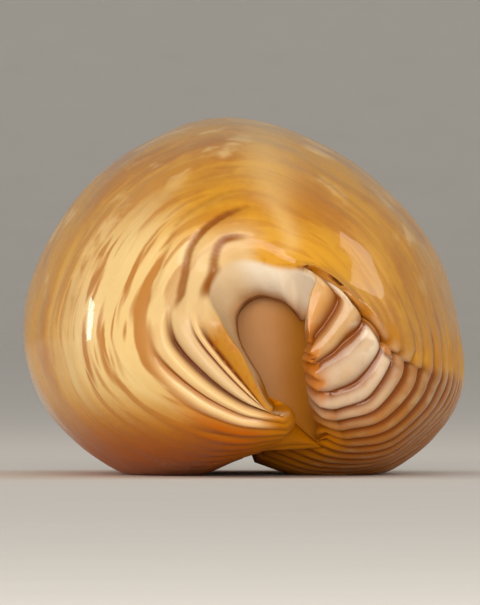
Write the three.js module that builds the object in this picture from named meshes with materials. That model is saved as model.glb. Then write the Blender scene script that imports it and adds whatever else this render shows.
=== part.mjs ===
import * as THREE from "three";
import { mergeVertices } from "three/addons/utils/BufferGeometryUtils.js";

// A whole cowrie shell in millimetres, lying on its two soles.
// X runs across it towards the outer lip, Y along it from the spire end to the canal end, Z up.
const halfLength = 30;
const soleSink = 0.6;

// Guide lines round the shell, from the outer lip over the back to the inner lip.
// wide: x, z and wall share on the widest section. rim: the same on the rim of the spire end.
// A wall share is how far the inner face lies from the outer face towards the axis of the hollow.
const guides = [
  { wide: [2.0, 1.8, 0.3], rim: [5.3, 13.0, 0.36] }, // outer lip
  { wide: [5.8, 0.3, 0.26], rim: [5.3, 14.3, 0.38] }, // outer sole
  { wide: [12.4, 0.9, 0.22], rim: [5.5, 15.8, 0.42] }, // outer sole edge
  { wide: [18.0, 6.2, 0.16], rim: [6.0, 17.3, 0.44] }, // outer margin
  { wide: [18.3, 12.9, 0.11], rim: [4.9, 18.0, 0.46] }, // right flank
  { wide: [15.4, 21.0, 0.1], rim: [3.7, 18.2, 0.46] }, // right shoulder
  { wide: [8.0, 27.7, 0.1], rim: [2.4, 18.4, 0.46] }, // right crown
  { wide: [-1.5, 30.8, 0.1], rim: [1.0, 18.8, 0.45] }, // crown
  { wide: [-10.4, 27.5, 0.11], rim: [-0.7, 18.9, 0.43] }, // left crown
  { wide: [-16.4, 20.7, 0.13], rim: [-2.2, 18.0, 0.41] }, // left shoulder
  { wide: [-18.7, 12.4, 0.2], rim: [-3.0, 15.9, 0.35] }, // left flank
  { wide: [-16.4, 5.7, 0.4], rim: [-2.3, 13.5, 0.27] }, // inner margin
  { wide: [-10.4, 0.8, 0.5], rim: [-0.9, 11.2, 0.18] }, // inner sole edge
  { wide: [-4.6, 0.3, 0.5], rim: [1.1, 8.5, 0.15] }, // inner sole
  { wide: [-0.1, 1.9, 0.35], rim: [3.5, 6.8, 0.25] }, // inner lip
];
const lastGuide = guides.length - 1;
const marginGuide = 3;

// Where the soles turn into the back, counted in guide lines
const outerSoleFade = [3, 5];
const innerSoleFade = [9, 11];

// Canal end: the rim of the spire end, drawn in towards a lower centre
const rimCentre = [1.5, 13.3];
const canalCentre = [1.2, 9.8];
const canalScale = 0.78;

// Sweep along the shell: steps are longer at the two ends than in the middle
const endCrowding = 0.225;
const backRoundness = { spire: 1.0, canal: 1.15 };
const soleRoundness = { spire: 0.75, canal: 0.85 };
const roofSetback = 2;
const endWall = 0.13;

// Lips: how far each swings towards the outer side near an end, in millimetres,
// and where the swing grows and dies away, in degrees from that end
const outerLipSwing = { spire: 5.2, canal: 1.8 };
const outerSwingGrowth = 48;
const outerSwingPower = 0.7;
const outerSwingFade = [46, 74];
const innerLipSwing = { spire: 1.9, canal: 0.9 };
const innerSwingGrowth = [0, 25];
const innerSwingFade = [35, 70];
const lipRounding = 0.7;
const lipRoundingGrowth = 0.04;

// Axis of the hollow
const axisAtRim = [4.6, 10.5];
const axisAtWide = [3.0, 14.5];

// Ridges and folds
const ridgeCount = 31;
const outerGrooveDepth = 0.6;
const innerGrooveDepth = 0.6;
const innerGrooveShift = 2 / 3;
const grooveSharpness = 3;
const rimGrowth = 0.02;

// The ends of the shell, as a share of its length, where folds run on over the flank and a groove
// follows the outer margin
const endZone = [0.05, 0.3];
const outerRidgeFade = [2.9, 3.3];
const innerFoldStart = { middle: 12.8, end: 10 };
const innerFoldGrowth = 1;
const marginGroove = 3.15;
const marginGrooveWidth = 0.18;
const marginGrooveDepth = 0.7;

// Mesh: steps for each ridge, and the places of the long edges counted in guide lines
const stepsPerRidge = 3;
const aroundStops = [
  0, 0.5, 1, 1.6, 2.2, 2.7, 2.95, 3.15, 3.4, 4, 4.7, 5.5,
  6.4, 7.3, 8.2, 9.1, 10, 10.8, 11.6, 12.25, 12.9, 13.45, 14,
];
const wallSteps = 2;
const normalStep = { along: 0.01, around: 0.2 };
const weldDistance = 1e-4;

const degree = Math.PI / 180;
const { smoothstep, lerp, clamp } = THREE.MathUtils;

function guideCurve(key) {
  const points = guides.map((guide) => new THREE.Vector3(...guide[key]));
  return new THREE.CatmullRomCurve3(points, false, "catmullrom", 0.5);
}
const wideCurve = guideCurve("wide");
const rimCurve = guideCurve("rim");

function sweepAngle(along) {
  return Math.PI * along + endCrowding * Math.sin(2 * Math.PI * along);
}

// 1 on both soles, 0 on the back
function soleWeight(around) {
  return 1 - smoothstep(around, ...outerSoleFade) + smoothstep(around, ...innerSoleFade);
}

// Swing of the two lips, in degrees from the nearer end
function lipSwing(fromEnd, around, end) {
  const outerWeight = clamp(1 - around / marginGuide, 0, 1);
  const innerWeight = clamp((around - lastGuide) / marginGuide + 1, 0, 1);
  const outerGrowth = Math.pow(Math.min(fromEnd / outerSwingGrowth, 1), outerSwingPower);
  const outerShape = outerGrowth * (1 - smoothstep(fromEnd, ...outerSwingFade));
  const innerShape = smoothstep(fromEnd, ...innerSwingGrowth) * (1 - smoothstep(fromEnd, ...innerSwingFade));
  return outerLipSwing[end] * outerWeight * outerShape + innerLipSwing[end] * innerWeight * innerShape;
}

// Rim of one end: x and z as its x and y, wall share as its z
function rimPoint(around, end) {
  const rim = rimCurve.getPoint(around / lastGuide);
  if (end === "canal") {
    rim.x = canalCentre[0] + canalScale * (rim.x - rimCentre[0]);
    rim.y = canalCentre[1] + canalScale * (rim.y - rimCentre[1]);
  }
  return rim;
}

// One ring line of the shell, between the rim and the widest section, in the same order as a rim
function ringPoint(along, around) {
  const turn = sweepAngle(along);
  const end = along > 0.5 ? "canal" : "spire";
  const roundness = lerp(backRoundness[end], soleRoundness[end], soleWeight(around));
  const reach = Math.pow(clamp(Math.sin(turn), 0, 1), roundness);
  const ring = rimPoint(around, end).lerp(wideCurve.getPoint(around / lastGuide), reach);
  const fromEnd = Math.min(turn, Math.PI - turn) / degree;
  ring.x += lipSwing(fromEnd, around, end);
  return { ring, reach, turn };
}

function outerPoint(along, around) {
  const { ring, reach, turn } = ringPoint(along, around);
  const setback = roofSetback * (1 - reach) * (1 - soleWeight(around));
  const y = -(halfLength - setback) * Math.cos(turn);
  return new THREE.Vector3(ring.x, y, ring.y - soleSink);
}

function hollowPoint(along, around) {
  const { ring, reach } = ringPoint(along, around);
  const point = outerPoint(along, around);
  point.x = lerp(point.x, lerp(axisAtRim[0], axisAtWide[0], reach), ring.z);
  point.z = lerp(point.z, lerp(axisAtRim[1], axisAtWide[1], reach), ring.z);
  point.y *= 1 - endWall;
  return point;
}

// Narrow grooves at whole numbers, broad crests between them
function grooveShape(count) {
  return Math.pow((1 + Math.cos(2 * Math.PI * count)) / 2, grooveSharpness);
}

function relief(along, around) {
  const count = ridgeCount * along;
  const fromEnd = Math.min(along, 1 - along);
  const nearEnd = 1 - smoothstep(fromEnd, ...endZone);
  const pastRim = smoothstep(fromEnd, 0, rimGrowth);
  const outerReach = 1 - smoothstep(around, ...outerRidgeFade);
  const innerStart = lerp(innerFoldStart.middle, innerFoldStart.end, nearEnd);
  const innerReach = smoothstep(around, innerStart, innerStart + innerFoldGrowth);
  const marginLine = Math.exp(-Math.pow((around - marginGroove) / marginGrooveWidth, 2)) * nearEnd;
  const outerGroove = outerGrooveDepth * grooveShape(count) * outerReach;
  const innerGroove = innerGrooveDepth * grooveShape(count + innerGrooveShift) * innerReach;
  return -pastRim * (outerGroove + innerGroove + marginGrooveDepth * marginLine);
}

function outwardNormal(along, around) {
  const before = Math.max(along - normalStep.along, 0);
  const after = Math.min(along + normalStep.along, 1);
  const left = Math.max(around - normalStep.around, 0);
  const right = Math.min(around + normalStep.around, lastGuide);
  const lengthwise = outerPoint(after, around).sub(outerPoint(before, around));
  const crosswise = outerPoint(along, right).sub(outerPoint(along, left));
  return lengthwise.cross(crosswise).normalize();
}

function shellPoint(along, around, depth) {
  const outer = outerPoint(along, around);
  outer.addScaledVector(outwardNormal(along, around), relief(along, around));
  const point = outer.lerp(hollowPoint(along, around), depth);
  const pastRim = smoothstep(Math.min(along, 1 - along), 0, lipRoundingGrowth);
  const round = 4 * depth * (1 - depth) * lipRounding * pastRim;
  if (around === 0) point.x -= round;
  if (around === lastGuide) point.x += round;
  if (depth === 0) point.z = Math.max(point.z, 0);
  return point;
}

// A box of thin wall, whose two large faces become the outside and the hollow
function shellGeometry() {
  const alongSteps = ridgeCount * stepsPerRidge;
  const box = new THREE.BoxGeometry(1, 1, 1, alongSteps, aroundStops.length - 1, wallSteps);
  const position = box.attributes.position;
  for (let i = 0; i < position.count; i += 1) {
    const along = position.getX(i) + 0.5;
    const stop = Math.round((position.getY(i) + 0.5) * (aroundStops.length - 1));
    const depth = 0.5 - position.getZ(i);
    const point = shellPoint(along, aroundStops[stop], depth);
    position.setXYZ(i, point.x, point.y, point.z);
  }
  box.deleteAttribute("normal");
  box.deleteAttribute("uv");
  const geometry = mergeVertices(box, weldDistance);
  geometry.computeVertexNormals();
  return geometry;
}

const glaze = new THREE.MeshStandardMaterial({ color: 0xc8903c, roughness: 0.18, metalness: 0 });
const shell = new THREE.Mesh(shellGeometry(), glaze);
shell.name = "shell";

const cowrie = new THREE.Group();
cowrie.add(shell);

export default cowrie;
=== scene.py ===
import math
from functools import lru_cache

import bmesh
import bpy
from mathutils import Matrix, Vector, noise


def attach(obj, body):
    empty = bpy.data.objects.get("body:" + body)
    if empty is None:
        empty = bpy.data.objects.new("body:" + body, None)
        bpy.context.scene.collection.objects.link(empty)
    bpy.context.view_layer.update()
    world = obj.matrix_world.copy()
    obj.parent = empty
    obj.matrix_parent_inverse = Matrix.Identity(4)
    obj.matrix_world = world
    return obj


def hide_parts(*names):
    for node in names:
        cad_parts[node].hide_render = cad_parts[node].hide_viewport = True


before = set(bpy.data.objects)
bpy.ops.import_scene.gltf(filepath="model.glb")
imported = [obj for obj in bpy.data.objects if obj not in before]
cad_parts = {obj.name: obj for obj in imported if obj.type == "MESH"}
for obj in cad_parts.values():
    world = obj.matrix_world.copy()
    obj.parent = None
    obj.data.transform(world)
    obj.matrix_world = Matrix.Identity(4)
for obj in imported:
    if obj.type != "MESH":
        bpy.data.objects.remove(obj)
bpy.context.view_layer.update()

mm = 0.001
tau = 2 * math.pi


# Small helpers for the form

def mix(low, high, share):
    return low + (high - low) * share


def clamp(value, low=0.0, high=1.0):
    return max(low, min(high, value))


def ease(value, start, end):
    # a soft step from 0 at start to 1 at end, where end may be the lower place
    share = clamp((value - start) / (end - start))
    return share * share * (3 - 2 * share)


def zoneShare(steps, places):
    # a product of soft steps, each written as its field, where it is 0 and where it is 1
    return math.prod(ease(places[field], start, end) for field, start, end in steps)


def bell(value, middle, width):
    return math.exp(-((value - middle) / width) ** 2)


def onward(start, end):
    # the next point of a straight line
    return tuple(2 * b - a for a, b in zip(start, end))


def splineAt(points, place):
    # a smooth curve through every point, one step of place from each point to the next
    start = min(int(place), len(points) - 2)
    share = place - start
    here, after = points[start], points[start + 1]
    before = points[start - 1] if start > 0 else onward(after, here)
    beyond = points[start + 2] if start + 2 < len(points) else onward(here, after)
    result = []
    for earlier, low, high, later in zip(before, here, after, beyond):
        slopeIn, slopeOut = (high - earlier) / 2, (later - low) / 2
        cubic = 2 * low - 2 * high + slopeIn + slopeOut
        square = -3 * low + 3 * high - 2 * slopeIn - slopeOut
        result.append(((cubic * share + square) * share + slopeIn) * share + low)
    return result


def linearAt(stops, place):
    # straight lines between (place, value) stops
    for (placeLow, low), (placeHigh, high) in zip(stops, stops[1:]):
        if place <= placeHigh:
            return mix(low, high, (place - placeLow) / (placeHigh - placeLow))
    return stops[-1][1]


# Form of the shell, in millimetres. Lengthwise, "along" runs from 0 at the spire end to 1 at the canal end.
# Crosswise, "around" counts the guide lines from the outer lip over the back to the inner lip.
# Each guide line has x, z and wall share on the widest section, and the same on the rim of the spire end.
guideLines = [
    ("outer lip", (1.2, 1.7, 0.3), (5.3, 13.0, 0.36)),
    ("outer sole", (5.8, 0.3, 0.26), (5.3, 14.3, 0.38)),
    ("outer sole edge", (12.4, 0.9, 0.22), (5.5, 15.8, 0.42)),
    ("outer margin", (18.0, 6.2, 0.16), (6.0, 17.3, 0.56)),
    ("right flank", (18.3, 12.9, 0.11), (4.9, 18.0, 0.64)),
    ("right shoulder", (15.4, 21.0, 0.1), (3.7, 18.2, 0.56)),
    ("right crown", (8.0, 27.7, 0.1), (2.4, 18.4, 0.46)),
    ("crown", (-1.5, 30.8, 0.1), (1.0, 18.8, 0.45)),
    ("left crown", (-10.4, 27.5, 0.11), (-0.7, 18.9, 0.43)),
    ("left shoulder", (-16.4, 20.7, 0.13), (-2.2, 18.0, 0.41)),
    ("left flank", (-18.7, 12.4, 0.2), (-3.0, 15.9, 0.35)),
    ("inner margin", (-16.4, 5.7, 0.4), (-2.3, 13.5, 0.27)),
    ("inner sole edge", (-10.4, 0.8, 0.5), (-0.9, 11.2, 0.18)),
    ("inner sole", (-4.6, 0.3, 0.5), (1.1, 8.5, 0.15)),
    ("inner lip", (-0.1, 1.9, 0.35), (3.5, 6.8, 0.12)),
]
widePoints = [wide for line, wide, rim in guideLines]
rimPoints = [rim for line, wide, rim in guideLines]
lastGuide = len(guideLines) - 1

# Angles count in degrees from the nearer end. A pair of places is where a soft step is 0 and where it is 1.
shellForm = {
    "halfLength": 30.0,
    "soleSink": 0.6,
    "outerSoleFade": (5, 3),
    "innerSoleFade": (9, 11),
    "rimCentre": (1.5, 13.3),
    "canalCentre": (1.2, 9.8),
    "canalScale": 0.78,
    "endCrowding": 0.225,
    "backRoundness": {"spire": 1.0, "canal": 1.15},
    "soleRoundness": {"spire": 0.75, "canal": 0.85},
    "roofSetback": 2.0,
    "normalStep": {"along": 0.002, "around": 0.04},
    "swells": [(0.16, 0.18), (0.5, 0.05)],  # pitch and height of the two uneven swells
}


@lru_cache(maxsize=None)
def wideAt(around):
    return splineAt(widePoints, around)


@lru_cache(maxsize=None)
def rimAt(around, end):
    x, z, wall = splineAt(rimPoints, around)
    if end == "canal":
        centreX, centreZ = shellForm["rimCentre"]
        canalX, canalZ = shellForm["canalCentre"]
        x = canalX + shellForm["canalScale"] * (x - centreX)
        z = canalZ + shellForm["canalScale"] * (z - centreZ)
    return x, z, wall


@lru_cache(maxsize=None)
def soleWeight(around):
    # 1 on both soles, 0 on the back
    return ease(around, *shellForm["outerSoleFade"]) + ease(around, *shellForm["innerSoleFade"])


@lru_cache(maxsize=None)
def sweepAngle(along):
    return math.pi * along + shellForm["endCrowding"] * math.sin(tau * along)


@lru_cache(maxsize=None)
def degreesFromEnd(along):
    turn = sweepAngle(along)
    return math.degrees(min(turn, math.pi - turn))


def nearerEnd(along):
    return "canal" if along > 0.5 else "spire"


# The two lips swing towards the outer side near each end
lipForm = {
    "width": 3,
    "outerSwing": {"spire": 5.2, "canal": 1.8},
    "outerGrowth": 48,
    "outerPower": 0.7,
    "outerFade": (74, 46),
    "innerSwing": {"spire": 1.9, "canal": 0.9},
    "innerGrowth": (0, 25),
    "innerFade": (70, 35),
    "rounding": 0.7,
    "roundingGrowth": (0, 0.04),
}


@lru_cache(maxsize=None)
def lipSwing(along):
    fromEnd, end = degreesFromEnd(along), nearerEnd(along)
    outerGrown = clamp(fromEnd / lipForm["outerGrowth"]) ** lipForm["outerPower"]
    innerGrown = ease(fromEnd, *lipForm["innerGrowth"])
    outer = lipForm["outerSwing"][end] * outerGrown * ease(fromEnd, *lipForm["outerFade"])
    inner = lipForm["innerSwing"][end] * innerGrown * ease(fromEnd, *lipForm["innerFade"])
    return outer, inner


def reachAt(along, around):
    # how far the form has grown from the rim, 0, to the widest section, 1
    end = nearerEnd(along)
    roundness = mix(shellForm["backRoundness"][end], shellForm["soleRoundness"][end], soleWeight(around))
    return clamp(math.sin(sweepAngle(along))) ** roundness


def ringPoint(along, around):
    # x, z and wall share
    reach = reachAt(along, around)
    rim, wide = rimAt(around, nearerEnd(along)), wideAt(around)
    x, z, wall = (mix(low, high, reach) for low, high in zip(rim, wide))
    outerSwing, innerSwing = lipSwing(along)
    x += outerSwing * clamp(1 - around / lipForm["width"])
    x += innerSwing * clamp((around - lastGuide) / lipForm["width"] + 1)
    return x, z, wall


def outerPoint(along, around):
    x, z = ringPoint(along, around)[:2]
    setback = shellForm["roofSetback"] * (1 - reachAt(along, around)) * (1 - soleWeight(around))
    y = -(shellForm["halfLength"] - setback) * math.cos(sweepAngle(along))
    return Vector((x, y, z - shellForm["soleSink"]))


def outwardNormal(along, around):
    step = shellForm["normalStep"]
    before, after = max(along - step["along"], 0), min(along + step["along"], 1)
    left, right = max(around - step["around"], 0), min(around + step["around"], lastGuide)
    lengthwise = outerPoint(after, around) - outerPoint(before, around)
    crosswise = outerPoint(along, right) - outerPoint(along, left)
    return lengthwise.cross(crosswise).normalized()


# The hollow lies round an axis of its own. Near the spire end the inner whorl's wall closes the view into it,
# sooner under the roof than at the lips.
hollowForm = {
    "axisAtRim": (4.6, 10.5),
    "axisAtWide": (3.0, 14.5),
    "endWall": 0.13,
    "throatAxis": (6.7, 2.4),
    "throatWall": 0.985,
    "throatStart": {"lips": 35, "roof": 12},
    "throatFull": 48,
    "throatFade": (54, 50),
    "roof": [("around", 3.5, 6), ("around", 12.5, 10)],
}


def throatWeight(along, around):
    if along > 0.5:
        return 0.0
    fromEnd, starts = degreesFromEnd(along), hollowForm["throatStart"]
    start = mix(starts["lips"], starts["roof"], zoneShare(hollowForm["roof"], {"around": around}))
    return ease(fromEnd, start, hollowForm["throatFull"]) * ease(fromEnd, *hollowForm["throatFade"])


def drawnIn(point, axis, share):
    # a point drawn towards an axis that runs lengthwise
    return Vector((mix(point.x, axis[0], share), point.y, mix(point.z, axis[1], share)))


def hollowPoint(along, around):
    reach, wall = reachAt(along, around), ringPoint(along, around)[2]
    axis = [mix(rim, wide, reach) for rim, wide in zip(hollowForm["axisAtRim"], hollowForm["axisAtWide"])]
    point = drawnIn(outerPoint(along, around), axis, wall)
    point.y *= 1 - hollowForm["endWall"]
    return drawnIn(point, hollowForm["throatAxis"], hollowForm["throatWall"] * throatWeight(along, around))


# The seam where the back laps over the ridge ends. Points are laid out in columns, which count guide lines
# as "around" does, but bend so that one of them follows the seam.
seamForm = {
    "column": 3.15,
    "path": [(0, 4.35), (5.5, 4.65), (7.8, 4.15), (9.2, 3.6), (14, 3.38), (20, 3.15), (24, 3.05), (36, 3.05),
             (67, 3.3), (90, 3.2)],
    "canalBend": 0.4,
    "bendEnd": 8.5,
    "mouthFade": (50, 26),
    "drop": 0.3,
    "dropStart": 2.75,
    "lift": 0.4,
    "liftWidth": 0.55,
    "lap": 0.5,
    "lapOffset": 0.06,
    "lapWidth": 0.1,
    "lapZone": [("fromEnd", 0, 1.6), ("fromEnd", 45, 26)],
    "lapStep": 0.05,
    "leastLap": 0.01,
}


def seamAt(along):
    # the seam's place in guide lines, further up the back beside the spire end's mouth
    path = linearAt(seamForm["path"], degreesFromEnd(along))
    return path if along <= 0.5 else mix(seamForm["column"], path, seamForm["canalBend"])


def guideAt(along, column):
    seam, seamHere = seamForm["column"], seamAt(along)
    if column <= seam:
        return column * seamHere / seam
    return column + (seamHere - seam) * ease(column, seamForm["bendEnd"], seam)


def seamLap(along, column):
    # how far the edge of the back is drawn over the ridge ends
    middle = seamForm["column"] + seamForm["lapOffset"]
    grown = zoneShare(seamForm["lapZone"], {"fromEnd": degreesFromEnd(along)})
    lap = bell(column, middle, seamForm["lapWidth"]) * grown
    if lap <= seamForm["leastLap"]:
        return Vector()
    around = guideAt(along, column)
    across = outerPoint(along, around + seamForm["lapStep"]) - outerPoint(along, around)
    return across.normalized() * seamForm["lap"] * lap


# Ridges of the outer lip and teeth on its edge. The grooves between the ridges are listed by their angle on
# three columns: at the lip, on the sole and at the seam.
ridgeForm = {
    "lipGrooves": [-3.8, 3.8, 10.8, 23.6, 31.6, 37.2, 42.2, 46.2, *range(50, 91, 4)],
    "soleGrooves": [-4.8, 4.8, 11.0, 22.6, 29.4, 34.0, 38.8, 43.4, 48, 52.6, 57.3, *range(62, 91, 4)],
    "seamGrooves": [-5.2, 5.2, 14.2, 22.9, 28.2, 35.4, 41.6, 48.6, 55, 60.5, 65.5, 69.5, 73, 76, 79, 82, 84.8,
                    87.4, 90],
    "soleColumn": 1.7,
    "depth": [(0, 0.75), (23, 0.85), (40, 0.6), (90, 0.42)],
    "skew": -0.06,
    "power": 0.6,
    "endStart": 0.02,
    "endAtMouth": 0.12,
    "endAtSide": 0.9,
    "sideGrowth": (30, 50),
    "lastColumn": 5.5,
    "toothLift": 0.1,
    "toothReach": 0.24,
    "toothZone": [("column", 0.9, 0.1), ("fromEnd", 0.5, 3)],
    "toothPairs": 3,
}


def countAt(grooves, fromEnd):
    # the number of the last groove passed, and the share of the way to the next
    for number, (low, high) in enumerate(zip(grooves, grooves[1:])):
        if fromEnd <= high:
            return number + (fromEnd - low) / (high - low)
    return len(grooves) - 1.0


@lru_cache(maxsize=None)
def ridgeCounts(along):
    grooves = (ridgeForm[line] for line in ("lipGrooves", "soleGrooves", "seamGrooves"))
    return [countAt(line, degreesFromEnd(along)) for line in grooves]


def outerCount(along, column):
    lip, sole, seam = ridgeCounts(along)
    middle = ridgeForm["soleColumn"]
    if column < middle:
        return mix(lip, sole, ease(column, 0, middle))
    return mix(sole, seam, ease(column, middle, seamForm["column"]))


def roll(count, skew, power):
    # 1 on the crest of a ridge and 0 in the grooves at whole counts
    share = count - math.floor(count)
    share = share + skew * math.sin(math.pi * share) ** 2
    return abs(math.sin(math.pi * share)) ** power


def toothWave(along, column):
    # small teeth on the edge of the outer lip: two on each of the first ridges, then one on each
    count = ridgeCounts(along)[0]
    wave = -math.cos(tau * count * (2 if count < ridgeForm["toothPairs"] else 1))
    return wave * zoneShare(ridgeForm["toothZone"], {"column": column, "fromEnd": degreesFromEnd(along)})


def outerRelief(along, column):
    # ridges and teeth as far as the seam, and past it the raised edge of the back
    fromEnd, seam = degreesFromEnd(along), seamForm["column"]
    atSide = ease(fromEnd, *ridgeForm["sideGrowth"])
    ridgeEnd = seam + mix(ridgeForm["endAtMouth"], ridgeForm["endAtSide"], atSide)
    reach = ease(column, ridgeEnd, seam + ridgeForm["endStart"])
    crest = roll(outerCount(along, column), ridgeForm["skew"], ridgeForm["power"])
    relief = linearAt(ridgeForm["depth"], fromEnd) * (crest - 1) * reach
    atMouth = ease(fromEnd, *seamForm["mouthFade"])
    if column > seam:
        return relief + seamForm["lift"] * math.exp((seam - column) / seamForm["liftWidth"]) * atMouth
    relief -= seamForm["drop"] * ease(column, seamForm["dropStart"], seam) * atMouth
    return relief + ridgeForm["toothLift"] * toothWave(along, column)


# Folds of the inner lip, with the depth of each groove between them. The last depth holds for all the rest.
foldForm = {
    "grooves": [-2.1, 2.1, 3.4, 8.8, 14.6, 21.5, 28.5, 35, 40.8, 46.2, 51.2, 56, 60.5, 65, 69.2, 73.4, 77.6,
                81.8, 85.9, 90],
    "depths": [0.3, 0.5, 0.4, 1.35, 0.6, 0.4, 0.4, 0.4, 0.45],
    "start": [(0, 10.2), (1.3, 10.4), (3.6, 10.3), (9.2, 9.9), (15, 10.5), (22, 11.6), (35, 12.5),
              (90, 12.9)],
    "growth": 1.1,
    "skew": 0.08,
    "mouthFolds": 4,
    "mouthPower": 0.75,
    "power": 1.1,
    "edgeFade": 0.85,
    "edgeZone": [("column", 13.1, 14), ("fromEnd", 30, 16)],
    "firstColumn": 9.5,
    "firstLift": 0.5,
    "firstLap": 0.6,
    "firstZone": [("column", 10.15, 10.9), ("column", 13.2, 11.9), ("fromEnd", 2.2, 0.9)],
}


@lru_cache(maxsize=None)
def innerCount(along):
    return countAt(foldForm["grooves"], degreesFromEnd(along))


def foldReach(along, column):
    start = linearAt(foldForm["start"], degreesFromEnd(along))
    return ease(column, start, start + foldForm["growth"])


def firstFold(along, column):
    # the thick fold that overhangs the left side of the mouth
    if along > 0.5:
        return 0.0
    return zoneShare(foldForm["firstZone"], {"column": column, "fromEnd": degreesFromEnd(along)})


def innerRelief(along, column):
    count, depths = innerCount(along), foldForm["depths"]
    depth = depths[min(int(count + 0.5), len(depths) - 1)]
    power = foldForm["mouthPower"] if count < foldForm["mouthFolds"] else foldForm["power"]
    atEdge = zoneShare(foldForm["edgeZone"], {"column": column, "fromEnd": degreesFromEnd(along)})
    reach = foldReach(along, column) * (1 - foldForm["edgeFade"] * atEdge)
    relief = depth * (roll(count, foldForm["skew"], power) - 1) * reach
    return relief + foldForm["firstLift"] * firstFold(along, column)


# Three shallow troughs circle the mouth of the spire end. A path is the angle at each column, and a stain is
# how strongly the trough is coloured.
arcZone = [("column", 6.4, 7.6), ("column", 10.6, 9.7)]
arcForm = {
    "main": {
        "width": 1.6, "depth": 0.28, "stain": 1.0,
        "path": [(7.2, 19.8), (7.7, 16.8), (8.1, 14.8), (8.5, 13), (8.9, 10.7), (9.4, 8.1), (9.9, 6.5),
                 (10.5, 8)],
    },
    "near": {
        "width": 2.2, "depth": 0.07, "stain": 0.85,
        "path": [(6.8, 8.3), (7.65, 8.6), (8, 7.4), (8.4, 4.7), (8.9, 1.5), (9.3, 0)],
    },
    "far": {
        "width": 2.0, "depth": 0.14, "stain": 0.45,
        "path": [(7.8, 25.3), (8.25, 23.4), (8.6, 19.9), (9.05, 17.6), (9.4, 16.3), (9.8, 15.8),
                 (10.5, 14.6)],
    },
}


def backArcs(along, column, measure):
    # the sum of the troughs, each weighed by its depth or its stain
    if along > 0.5:
        return 0.0
    fromEnd, total = degreesFromEnd(along), 0.0
    for arc in arcForm.values():
        total += arc[measure] * bell(fromEnd, linearAt(arc["path"], column), arc["width"])
    return total * zoneShare(arcZone, {"column": column})


# The rims of the two ends: how far each bulges past its end, and the inner lip's corner, which is drawn in
rimForm = {
    "reliefGrowth": (0, 0.012),
    "foldsAtRim": 0.6,
    "soleBulge": -0.3,
    "lipBulge": 0.35,
    "roofBulge": 0.8,
    "roofDrop": 0.45,
    "roof": [("column", 3.15, 4.8), ("column", 10.4, 8.5)],
    "lipEnd": [("column", 11.5, 13)],
    "cornerPull": (-1.1, 0.5, -0.5),
    "cornerStart": (12.3, 14),
    "cornerFade": (8, 0),
    "canalCorner": 0.5,
}


def rimBulge(along, column, depth):
    if along not in (0, 1):
        return Vector()
    bulge = 4 * depth * (1 - depth)
    roof = zoneShare(rimForm["roof"], {"column": column})
    lipEnd = zoneShare(rimForm["lipEnd"], {"column": column})
    lengthwise = mix(mix(rimForm["soleBulge"], rimForm["lipBulge"], lipEnd), rimForm["roofBulge"], roof)
    away = -1 if along == 0 else 1
    return Vector((0, away * lengthwise, -rimForm["roofDrop"] * roof)) * bulge


def cornerPull(along, column):
    corner = ease(column, *rimForm["cornerStart"]) ** 2 * ease(degreesFromEnd(along), *rimForm["cornerFade"])
    return Vector(rimForm["cornerPull"]) * corner * (1 if along < 0.5 else rimForm["canalCorner"])


def lipEdge(along, column, depth):
    # both lips have rounded edges, and the outer one has teeth
    pastRim = ease(min(along, 1 - along), *lipForm["roundingGrowth"])
    rounding = 4 * depth * (1 - depth) * lipForm["rounding"] * pastRim
    side = {0: -1, lastGuide: 1}.get(column, 0)
    teeth = ridgeForm["toothReach"] * toothWave(along, column) * (1 - depth)
    return Vector((side * rounding - teeth, 0, 0))


def reliefAt(along, column):
    pastRim = ease(min(along, 1 - along), *rimForm["reliefGrowth"])
    relief = -backArcs(along, column, "depth")
    if column < ridgeForm["lastColumn"]:
        relief += outerRelief(along, column) * pastRim
    if column > foldForm["firstColumn"]:
        relief += innerRelief(along, column) * mix(rimForm["foldsAtRim"], 1.0, pastRim)
    return relief


def shellPoint(along, column, depth):
    around = guideAt(along, column)
    outer, hollow = outerPoint(along, around), hollowPoint(along, around)
    if depth < 1:
        swell = sum(noise.noise(outer * pitch) * height for pitch, height in shellForm["swells"])
        outer += outwardNormal(along, around) * (reliefAt(along, column) + swell)
        outer -= seamLap(along, column)
    overhang = foldForm["firstLap"] * firstFold(along, column) * (1 - depth)
    outer += Vector((hollow.x - outer.x, 0, hollow.z - outer.z)).normalized() * overhang
    point = outer.lerp(hollow, depth) + cornerPull(along, column)
    point += lipEdge(along, column, depth) + rimBulge(along, column, depth)
    if depth == 0:
        point.z = max(point.z, 0)  # the soles rest on the ground
    return point


# What the glaze is told about each point: the slot is the olive brown strip inside the slit, along both lips,
# painted brighter as painted light where it lies in shade, and the mantle path is the pale line along the
# back
mantlePath = [(0, 5.6), (12, 5.85), (25, 6.55), (53, 6.65), (90, 6.7)]
slotZones = {
    "outer lip": [("column", 1.3, 0.2), ("fromEnd", 34, 48)],
    "outer wall": [("column", 3, 1.5), ("depth", 0.5, 0.9), ("fromEnd", 4, 16)],
    "outer floor": [("column", 2.5, 0), ("depth", 0.8, 1)],
    "inner floor": [("column", 11, 13), ("depth", 0.8, 1)],
    "inner wall": [("column", 12.6, 13.4), ("depth", 0.05, 0.4)],
    "inner lip": [("column", 13.2, 13.9), ("fromEnd", 2, 12)],
}


def markingsAt(along, column, depth):
    fromEnd = degreesFromEnd(along)
    places = {"column": column, "depth": depth, "fromEnd": fromEnd}
    return {
        "column": column,
        "depth": depth,
        "angle": fromEnd if along <= 0.5 else 180 - fromEnd,
        "outerCount": outerCount(along, column),
        "innerCount": innerCount(along),
        "arc": backArcs(along, column, "stain"),
        "mantle": guideAt(along, column) - linearAt(mantlePath, fromEnd),
        "fold": foldReach(along, column),
        "slot": max(zoneShare(steps, places) for steps in slotZones.values()),
    }


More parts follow.
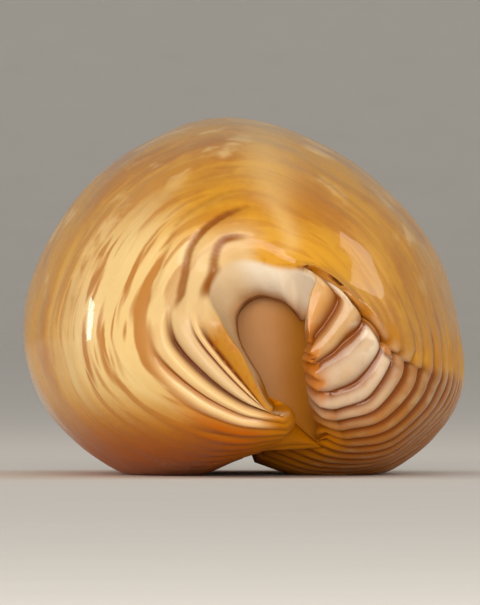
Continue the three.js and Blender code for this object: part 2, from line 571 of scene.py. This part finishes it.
markingNames = tuple(markingsAt(0, 0, 0))
meshForm = {
    "alongSteps": 390,
    "aroundSteps": 114,
    "wallSteps": 7,
    "alongStops": [(0, 0), (0.06, 0.012), (0.375, 0.2), (1, 1)],
    "aroundStops": [(0, 0), (0.25, 3.05), (0.32, 3.3), (0.6, 9.3), (1, 14)],
}


def wallBlock():
    # a block whose length, width and thickness become along, column and depth
    sheet = bmesh.new()
    lengthwise, crosswise = meshForm["alongSteps"], meshForm["aroundSteps"]
    bmesh.ops.create_grid(sheet, x_segments=lengthwise, y_segments=crosswise, size=0.5)
    grown = bmesh.ops.extrude_face_region(sheet, geom=sheet.faces[:], use_keep_orig=True)
    innerVerts = [item for item in grown["geom"] if isinstance(item, bmesh.types.BMVert)]
    bmesh.ops.translate(sheet, verts=innerVerts, vec=(0, 0, 1))
    wallEdges = [edge for edge in sheet.edges if abs(edge.verts[0].co.z - edge.verts[1].co.z) > 0.5]
    bmesh.ops.subdivide_edges(sheet, edges=wallEdges, cuts=meshForm["wallSteps"] - 1, use_grid_fill=True)
    return sheet


def buildShell():
    sheet = wallBlock()
    layers = {name: sheet.verts.layers.float.new(name) for name in markingNames}
    for vert in sheet.verts:
        along = linearAt(meshForm["alongStops"], clamp(round(vert.co.x + 0.5, 6)))
        column = linearAt(meshForm["aroundStops"], clamp(round(vert.co.y + 0.5, 6)))
        depth = clamp(round(vert.co.z, 6))
        for name, value in markingsAt(along, column, depth).items():
            vert[layers[name]] = value
        vert.co = shellPoint(along, column, depth) * mm
    bmesh.ops.recalc_face_normals(sheet, faces=sheet.faces[:])
    mesh = bpy.data.meshes.new("cowrieShell")
    sheet.to_mesh(mesh)
    sheet.free()
    mesh.shade_smooth()
    shell = bpy.data.objects.new("cowrieShell", mesh)
    bpy.context.scene.collection.objects.link(shell)
    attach(shell, "root")
    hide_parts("shell")
    triangles = sum(len(face.vertices) - 2 for face in mesh.polygons)
    print("shell:", len(mesh.vertices), "points", triangles, "triangles")
    return shell


shell = buildShell()


class Wire:
    # a shader socket that takes part in sums
    def __init__(self, paint, socket):
        self.paint, self.socket = paint, socket

    def __add__(self, other):
        return self.paint.maths("ADD", self, other)

    def __sub__(self, other):
        return self.paint.maths("SUBTRACT", self, other)

    def __rsub__(self, other):
        return self.paint.maths("SUBTRACT", other, self)

    def __mul__(self, other):
        return self.paint.maths("MULTIPLY", self, other)

    __radd__ = __add__
    __rmul__ = __mul__


class Paint:
    def __init__(self, name):
        self.material = bpy.data.materials.new(name)
        self.material.use_nodes = True
        self.tree = self.material.node_tree
        self.skin = self.tree.nodes["Principled BSDF"]

    def add(self, kind, settings, values, output=0):
        node = self.tree.nodes.new("ShaderNode" + kind)
        for key, value in settings.items():
            setattr(node, key, value)
        for key, value in values.items():
            self.feed(node.inputs[key], value)
        return Wire(self, node.outputs[output])

    def feed(self, socket, value):
        if isinstance(value, Wire):
            self.tree.links.new(value.socket, socket)
        else:
            socket.default_value = value

    def maths(self, operation, *values):
        return self.add("Math", {"operation": operation}, dict(enumerate(values)))

    def larger(self, one, other):
        return self.maths("MAXIMUM", one, other)

    def ease(self, value, start, end):
        # a soft step from 0 at start to 1 at end, where end may be the lower place
        settings = {"interpolation_type": "SMOOTHSTEP"}
        return self.add("MapRange", settings, {"Value": value, "From Min": start, "From Max": end})

    def zone(self, steps, fields):
        first, *others = (self.ease(fields[field], start, end) for field, start, end in steps)
        return math.prod(others, start=first)

    def bell(self, value, middle, width):
        share = (value - middle) * (1 / width)
        return self.maths("EXPONENT", share * share * -1)

    def blend(self, low, high, share):
        settings = {"data_type": "RGBA", "clamp_factor": True}
        return self.add("Mix", settings, {0: share, 6: low, 7: high}, 2)

    def noise(self, place, scale, detail, roughness, output=0):
        values = {"Vector": place, "Scale": scale, "Detail": detail, "Roughness": roughness}
        return self.add("TexNoise", {}, values, output)

    def attribute(self, name):
        return self.add("Attribute", {"attribute_name": name}, {}, "Fac")


def tone(red, green, blue):
    # a screen colour, 0 to 255, as the light that the shader takes
    channels = [channel / 255 for channel in (red, green, blue)]
    light = [c / 12.92 if c <= 0.04045 else ((c + 0.055) / 1.055) ** 2.4 for c in channels]
    return (*light, 1.0)


glazeTones = {
    "gold": tone(222, 160, 46),
    "goldDeep": tone(190, 118, 14),
    "cream": tone(246, 214, 148),
    "amber": tone(190, 98, 0),
    "paleSpot": tone(246, 204, 132),
    "streak": tone(186, 112, 28),
    "arc": tone(150, 84, 18),
    "nearMouth": tone(230, 196, 142),
    "roof": tone(238, 222, 198),
    "roofLeft": tone(220, 188, 140),
    # the brown at the far end of the hollow, partly its own colour and partly painted shade, darkest to the
    # right
    "throat": tone(198, 146, 96),
    "throatDeepAndShade": tone(186, 120, 32),
    "ridge": tone(218, 190, 160),
    "ridgeTan": tone(208, 164, 110),
    # a darker tan on the lower ridges, partly their own colour and partly painted shade
    "ridgeLowAndShade": tone(180, 122, 58),
    "firstRidge": tone(220, 156, 76),
    # brown of the grooves between the ridges, partly painted shade there, and of the streaks they send up the
    # flank
    "ridgeGroove": tone(140, 72, 10),
    "fold": tone(226, 192, 142),
    "firstFold": tone(194, 132, 40),
    "foldTan": tone(246, 208, 146),
    # the dark brown of the fold grooves, partly their own colour and partly painted shade
    "foldGroove": tone(116, 48, 2),
    # the slit's olive brown, painted brighter as painted light where it lies in shade
    "slot": tone(196, 122, 0),
    "lipEdge": tone(200, 118, 30),
    "seamShade": tone(120, 66, 18),
    "callus": tone(244, 226, 196),
    # painted shade: a deep amber that darkens the shell towards the bottom
    "undersideShade": tone(150, 78, 6),
}

# Scale, detail and roughness of each noise. The ring noises lie on a place of their own, made of angle,
# column and depth, and draw streaks that circle the mouth of the spire end and run up the right flank.
glazeNoises = {"cloud": (140, 4, 0.6), "fine": (900, 3, 0.6), "blotch": (520, 2, 0.5)}
ringNoises = {"rings": (1, 1.6, 0.45), "narrow": (1.9, 1, 0.4), "grain": (7, 2, 0.5)}
ringPlace = {"angle": 0.19, "column": 0.42, "wander": 0.3}
wanderings = {"mantle": 0.25, "column": 0.8, "depth": 0.08}  # how far the cloud noise shifts these fields
spotForm = {
    "scale": 210,
    "randomness": 0.95,
    "drift": 0.0045,
    "driftNoise": (420, 2, 0.5),
    "growth": 0.16,
    "growthZone": [("cloud", 0.35, 0.7)],
}

# A zone is a product of soft steps, each written as its field, where it is 0 and where it is 1
belowSeam = ("column", 3.35, 3.1)
besideMouth = ("angle", 36, 22)
glazeZones = {
    "deepPatches": [("cloud", 0.42, 0.66)],
    "leftFlank": [("column", 7.6, 9.3), ("angle", 62, 36), ("height", 3, 9)],
    "wideStreaks": [("rings", 0.52, 0.62)],
    "narrowStreaks": [("narrow", 0.54, 0.64)],
    "streakReach": [("angle", 80, 50)],
    "paleRings": [("rings", 0.47, 0.34)],
    # amber towards the bottom of the left flank, partly its own colour and partly painted shade
    "lowLeftAndShade": [("height", 7.5, 1), ("column", 9, 10.5)],
    "spots": [("spotEdge", 0.34, 0.06), ("column", 4, 5), ("column", 10.4, 9.2), ("angle", 30, 46)],
    "mantleReach": [("angle", 2, 14)],
    "nearMouth": [("angle", 19, 5), ("column", 6, 7.4)],
    "rimLight": [("angle", 4, 0.6), ("column", 4.6, 5.8), ("cloud", 0.36, 0.56)],
    "arcs": [("arc", 0.2, 0.85)],
    "arcPatches": [("cloud", 0.35, 0.6)],
    "paleRidges": [("outerCount", 1.9, 2.2), ("cloud", 0.2, 0.55)],
    "farRidges": [("angle", 24, 42)],
    "firstRidge": [("outerCount", 1.2, 0.75), ("cloud", 0.3, 0.6)],
    "lipRidges": [("column", 1.3, 0.1), ("outerCount", 3.4, 2.4)],
    "darkBlotches": [("blotch", 0.5, 0.68)],
    "paleBlotches": [("blotch", 0.5, 0.3)],
    "belowSeam": [belowSeam],
    "upwardGrooves": [("column", 4.9, 3.2), ("angle", 28, 40), ("outerRoll", 0.6, 0), ("cloud", 0.34, 0.56)],
    "pastSide": [("angle", 56, 80)],
    "callusPatches": [("angle", 30, 18), ("blotch", 0.38, 0.52), ("outerRoll", 0.2, 0.7)],
    "seamEdge": [("column", 2.84, 2.92), belowSeam, besideMouth],
    "seamPatches": [besideMouth, ("cloud", 0.3, 0.45)],
    "tanFolds": [("innerCount", 2.9, 3.1)],
    "amberFolds": [("innerCount", 4.2, 5.2)],
    "mouthFolds": [("innerCount", 2.1, 1.9)],
    "firstFold": [("innerCount", 1.2, 0.95)],
    "foldGrain": [("grain", 0.5, 0.7), ("innerCount", 1.5, 1)],
    "paleGrooves": [("innerCount", 3.6, 4.4)],
    "wideGrooves": [("innerCount", 2.4, 2.7)],
    "farFolds": [("angle", 40, 70)],
    "leftRoof": [("wanderingColumn", 6.8, 8.8)],
    "throat": [("wanderingDepth", 0.55, 1)],
    # partly painted shade: the far end of the hollow, towards the right
    "throatEndAndShade": [("depth", 0.97, 1), ("across", 1.5, 5)],
    "inside": [("depth", 0, 0.14)],
    "lipFace": [("column", 0.12, 0), ("depth", 0.9, 0.5)],
    "teeth": [("column", 0.5, 0), ("angle", 32, 22), ("depth", 1, 0.7)],
    "fineTeeth": [("fineWave", -0.2, 0.8), ("column", 1.6, 0.5), ("angle", 40, 52)],
    # painted shade, darker towards the bottom outside the hollow
    "undersideShade": [("height", 7, 0.5), ("depth", 0.2, 0)],
    "shadedInside": [("depth", 0.3, 0.9)],
    "coatPatches": [("cloud", 0.3, 0.6)],
}
glazeLines = {"mantle": (0, 0.3), "callus": (2.66, 0.3), "seam": (2.87, 0.05)}  # middle and half width
glazeShares = {  # a share outside a zone, and the share inside it
    "streaks": (0.35, 0.85),
    "arcs": (0.8, 1.0),
    "upwardGrooves": (1.0, 0.3),
    "folds": (1.0, 0.7),
}
glazePairs = {  # the larger of two zones, with the strength of each
    "mouthGlow": {"nearMouth": 0.8, "rimLight": 0.7},
    "lipStain": {"lipRidges": 0.8, "darkBlotches": 0.45},
}
grooveForm = {"ridgeEdge": (0.08, 0.38), "foldEdge": (0.42, 0.75), "foldBottom": 0.08}  # heights on the rolls

# Coats of glaze in the order of painting. Each starts from a colour, and each layer on it has a colour, a
# strength and a mask. A coat's name is a colour for the coats after it.
glazeCoats = {
    "back": ("gold", [
        ("goldDeep", 0.7, "deepPatches"),
        ("cream", 0.88, "leftFlank"),
        ("streak", 1.0, "streaks"),
        ("cream", 0.8, "flankRings"),
        # the left flank amber towards the bottom, partly painted shade
        ("amber", 1.0, "lowLeftAndShade"),
        ("paleSpot", 0.75, "spots"),
        ("paleSpot", 0.5, "mantleLine"),
        ("nearMouth", 1.0, "mouthGlow"),
        ("arc", 1.0, "arcStain"),
    ]),
    "ridges": ("ridgeTan", [
        ("ridge", 1.0, "paleRidges"),
        # the lower ridges darker, partly their own tone and partly painted shade
        ("ridgeLowAndShade", 1.0, "farRidges"),
        ("firstRidge", 1.0, "firstRidge"),
        ("lipEdge", 1.0, "lipStain"),
        ("fold", 0.35, "paleBlotches"),
        ("ridgeGroove", 1.0, "ridgeGrooves"),
    ]),
    "foldGrooves": ("foldGroove", [
        ("streak", 1.0, "paleGrooves"),
    ]),
    "folds": ("fold", [
        ("foldTan", 1.0, "tanFolds"),
        ("amber", 1.0, "amberFolds"),
        ("foldTan", 1.0, "mouthFolds"),
        ("firstFold", 1.0, "firstFold"),
        ("foldGrooves", 1.0, "foldGrooves"),
        ("streak", 0.8, "foldGrain"),
    ]),
    "inside": ("roof", [
        ("roofLeft", 0.8, "leftRoof"),
        ("throat", 1.0, "throat"),
        ("throatDeepAndShade", 1.0, "throatEndAndShade"),
    ]),
    "skin": ("back", [
        ("ridgeGroove", 0.75, "fadedGrooves"),
        ("ridges", 1.0, "belowSeam"),
        ("callus", 0.9, "callusLine"),
        ("goldDeep", 0.85, "seamEdge"),
        ("seamShade", 0.8, "seamLine"),
        ("folds", 1.0, "fadedFolds"),
        ("inside", 1.0, "hollow"),
        ("lipEdge", 0.7, "teeth"),
        ("slot", 1.0, "slot"),
        # painted shade towards the bottom
        ("undersideShade", 0.35, "undersideShade"),
        ("seamShade", 0.5, "fineTeeth"),
    ]),
}
glazeFinish = {
    "roughness": 0.2,
    "cloudRoughness": 0.2,
    "shadedRoughness": 0.25,
    "coatWeight": (0.44, 0.69),
    "coatRoughness": 0.05,
    "coatIor": 1.4,
    "specular": 0.08,
    "shadedDullness": 0.85,
    "mouthDullness": 0.6,
    "bumps": {"rings": 0.5, "cloud": 0.6, "fine": 0.12},
    "bumpStrength": 0.45,
    "bumpDistance": 0.0007,
}


def ringFields(paint, fields, wander):
    turned = fields["angle"] * ringPlace["angle"] + wander * ringPlace["wander"]
    axes = {"X": turned, "Y": fields["column"] * ringPlace["column"], "Z": fields["depth"]}
    place = paint.add("CombineXYZ", {}, axes)
    return {name: paint.noise(place, *settings) for name, settings in ringNoises.items()}


def spotEdge(paint, fields, place):
    # the distance from the middle of the nearest spot, less for larger spots
    drift = paint.noise(place, *spotForm["driftNoise"], output="Color")
    shift = {0: drift, 1: [spotForm["drift"]] * 3, 2: place}
    drifted = paint.add("VectorMath", {"operation": "MULTIPLY_ADD"}, shift)
    cells = {"Vector": drifted, "Scale": spotForm["scale"], "Randomness": spotForm["randomness"]}
    growth = paint.zone(spotForm["growthZone"], fields) * spotForm["growth"]
    return paint.add("TexVoronoi", {}, cells, "Distance") - growth


def glazeFields(paint):
    # what the zones are measured by: the shell's markings, places in millimetres, noises and waves
    fields = {name: paint.attribute(name) for name in markingNames}
    place = paint.add("TexCoord", {}, {}, "Object")
    for name, axis in (("across", "X"), ("height", "Z")):
        fields[name] = paint.add("SeparateXYZ", {}, {"Vector": place}, axis) * (1 / mm)
    for name, settings in glazeNoises.items():
        fields[name] = paint.noise(place, *settings)
    wander = (fields["cloud"] - 0.5) * 2
    for name, reach in wanderings.items():
        fields["wandering" + name.capitalize()] = fields[name] + wander * reach
    fields.update(ringFields(paint, fields, wander))
    fields["spotEdge"] = spotEdge(paint, fields, place)
    for side in ("outer", "inner"):
        wave = paint.maths("SINE", fields[side + "Count"] * math.pi)
        fields[side + "Roll"] = paint.maths("ABSOLUTE", wave)
    fields["fineWave"] = paint.maths("SINE", fields["outerCount"] * (2 * tau))  # two teeth on each ridge
    return fields


def glazeMasks(paint, fields):
    # every zone, and the masks that are made of more than soft steps
    masks = {name: paint.zone(steps, fields) for name, steps in glazeZones.items()}
    lines = {name: paint.bell(fields["column"], *glazeLines[name]) for name in ("callus", "seam")}
    for name, zones in glazePairs.items():
        masks[name] = paint.larger(*(masks[zone] * strength for zone, strength in zones.items()))
    streaks = paint.larger(masks["wideStreaks"], masks["narrowStreaks"]) * masks["streakReach"]
    masks["streaks"] = streaks * mix(*glazeShares["streaks"], masks["leftFlank"])
    masks["flankRings"] = masks["paleRings"] * masks["leftFlank"]
    masks["mantleLine"] = paint.bell(fields["wanderingMantle"], *glazeLines["mantle"]) * masks["mantleReach"]
    masks["arcStain"] = masks["arcs"] * mix(*glazeShares["arcs"], masks["arcPatches"])
    masks["fadedGrooves"] = masks["upwardGrooves"] * mix(*glazeShares["upwardGrooves"], masks["pastSide"])
    masks["callusLine"] = lines["callus"] * masks["callusPatches"]
    masks["seamLine"] = lines["seam"] * masks["seamPatches"]
    masks["fadedFolds"] = fields["fold"] * mix(*glazeShares["folds"], masks["farFolds"])
    # dark brown in the grooves between the outer ridges, partly their own colour and partly painted shade in
    # the creases
    ridgeEdge = mix(*grooveForm["ridgeEdge"], masks["farRidges"])
    masks["ridgeGrooves"] = paint.ease(fields["outerRoll"], 1, ridgeEdge)
    # dark brown in the grooves between the folds, partly their own colour and partly painted shade in the
    # creases
    foldEdge = mix(*grooveForm["foldEdge"], masks["wideGrooves"])
    masks["foldGrooves"] = paint.ease(fields["innerRoll"], foldEdge, grooveForm["foldBottom"])
    masks["hollow"] = masks["inside"] * (1 - masks["lipFace"])
    masks["slot"] = fields["slot"]
    return masks


def paintCoats(paint, masks):
    colours = dict(glazeTones)
    for coat, (base, layers) in glazeCoats.items():
        colour = colours[base]
        for name, strength, mask in layers:
            colour = paint.blend(colour, colours[name], masks[mask] * strength)
        colours[coat] = colour
    return colours["skin"]


def makeGlaze():
    paint = Paint("shellGlaze")
    finish, sockets = glazeFinish, paint.skin.inputs
    fields = glazeFields(paint)
    masks = glazeMasks(paint, fields)
    paint.feed(sockets["Base Color"], paintCoats(paint, masks))

    shaded = paint.larger(masks["shadedInside"], masks["slot"])
    roughness = finish["roughness"] + finish["cloudRoughness"] * fields["cloud"]
    paint.feed(sockets["Roughness"], roughness + finish["shadedRoughness"] * shaded)
    dull = paint.larger(masks["nearMouth"] * finish["mouthDullness"], masks["undersideShade"])
    dull = paint.larger(shaded * finish["shadedDullness"], dull)
    paint.feed(sockets["Coat Weight"], mix(*finish["coatWeight"], masks["coatPatches"]) * (1 - dull))
    sockets["Coat Roughness"].default_value = finish["coatRoughness"]
    sockets["Coat IOR"].default_value = finish["coatIor"]
    sockets["Specular IOR Level"].default_value = finish["specular"]

    surface = sum(fields[name] * height for name, height in finish["bumps"].items())
    bumps = {"Height": surface, "Strength": finish["bumpStrength"], "Distance": finish["bumpDistance"]}
    paint.feed(sockets["Normal"], paint.add("Bump", {}, bumps))
    return paint.material


shell.data.materials.append(makeGlaze())
print("glaze:", len(shell.data.materials[0].node_tree.nodes), "nodes")


# Floor, lights and camera, in metres
floorForm = {
    "front": -1.5,
    "depth": 4.3,
    "bend": 0.8,
    "wallHeight": 1.5,
    "width": 8.0,
    "steps": 48,
    "tones": (tone(226, 224, 220), tone(232, 230, 227)),
    "grain": (60, 3, 0.5),
    "roughness": 0.85,
}


def makeFloor():
    # a pale sheet that rises in a wide curve behind the shell
    flat, bend = floorForm["depth"], floorForm["bend"]
    curve = bend * math.pi / 2
    sheet = bmesh.new()
    bmesh.ops.create_grid(sheet, x_segments=2, y_segments=floorForm["steps"], size=1)
    for vert in sheet.verts:
        reach = (vert.co.y + 1) / 2 * (flat + curve + floorForm["wallHeight"])
        turn = clamp((reach - flat) / bend, 0, math.pi / 2)
        vert.co.x *= floorForm["width"] / 2
        vert.co.y = floorForm["front"] + min(reach, flat) + bend * math.sin(turn)
        vert.co.z = bend * (1 - math.cos(turn)) + max(0, reach - flat - curve)
    data = bpy.data.meshes.new("floor")
    sheet.to_mesh(data)
    sheet.free()
    data.shade_smooth()
    floor = bpy.data.objects.new("floor", data)
    bpy.context.scene.collection.objects.link(floor)
    paint = Paint("floorPaper")
    place = paint.add("TexCoord", {}, {}, "Object")
    grain = paint.noise(place, *floorForm["grain"])
    paint.feed(paint.skin.inputs["Base Color"], paint.blend(*floorForm["tones"], grain))
    paint.skin.inputs["Roughness"].default_value = floorForm["roughness"]
    data.materials.append(paint.material)
    print("floor:", len(data.vertices), "points")


lightForm = {
    "worldTone": (1.0, 0.95, 0.88, 1),
    "worldStrength": 0.4,
    "lampTone": (1.0, 0.93, 0.84),
    "aim": (0, 0, 0.015),
    "lamps": {  # place, width, height and power
        "leftBox": ((-0.42, 0.14, 0.06), 0.06, 0.2, 0.6),
        "rightBox": ((0.40, 0.12, 0.32), 0.2, 0.2, 0.42),
        "frontBox": ((-0.05, -1.1, 0.12), 0.9, 0.6, 13.2),
    },
}


def makeLights():
    world = bpy.data.worlds.new("studio")
    world.use_nodes = True
    world.node_tree.nodes["Background"].inputs["Color"].default_value = lightForm["worldTone"]
    world.node_tree.nodes["Background"].inputs["Strength"].default_value = lightForm["worldStrength"]
    bpy.context.scene.world = world
    for name, (place, width, tall, power) in lightForm["lamps"].items():
        lamp = bpy.data.lights.new(name, "AREA")
        lamp.shape = "RECTANGLE"
        lamp.size, lamp.size_y = width, tall
        lamp.energy = power
        lamp.color = lightForm["lampTone"]
        holder = bpy.data.objects.new(name, lamp)
        holder.location = place
        towards = Vector(lightForm["aim"]) - holder.location
        holder.rotation_euler = towards.to_track_quat("-Z", "Y").to_euler()
        bpy.context.scene.collection.objects.link(holder)
    print("lights:", ", ".join(lightForm["lamps"]))


cameraForm = {
    "frameHeight": 605,  # pixels
    "metresPerPixel": 0.0847 * mm,
    "distance": 1.2,
    "aim": (-0.3 * mm, 0, 14.53 * mm),
    "nearest": 0.01,
}


def makeCamera():
    # level with the shell, and square to its spire end
    lens = bpy.data.cameras.new("camera")
    camera = bpy.data.objects.new("camera", lens)
    bpy.context.scene.collection.objects.link(camera)
    bpy.context.scene.camera = camera
    away = Vector((0, -1, 0))
    camera.location = Vector(cameraForm["aim"]) + away * cameraForm["distance"]
    camera.rotation_euler = (-away).to_track_quat("-Z", "Y").to_euler()
    frameHeight = cameraForm["frameHeight"] * cameraForm["metresPerPixel"]
    # the sensor's width is the long side of the picture, its height
    lens.lens = lens.sensor_width * cameraForm["distance"] / frameHeight
    lens.clip_start = cameraForm["nearest"]
    print("camera: lens", round(lens.lens), "mm")


bpy.context.scene.view_settings.view_transform = "Standard"
makeFloor()
makeLights()
makeCamera()
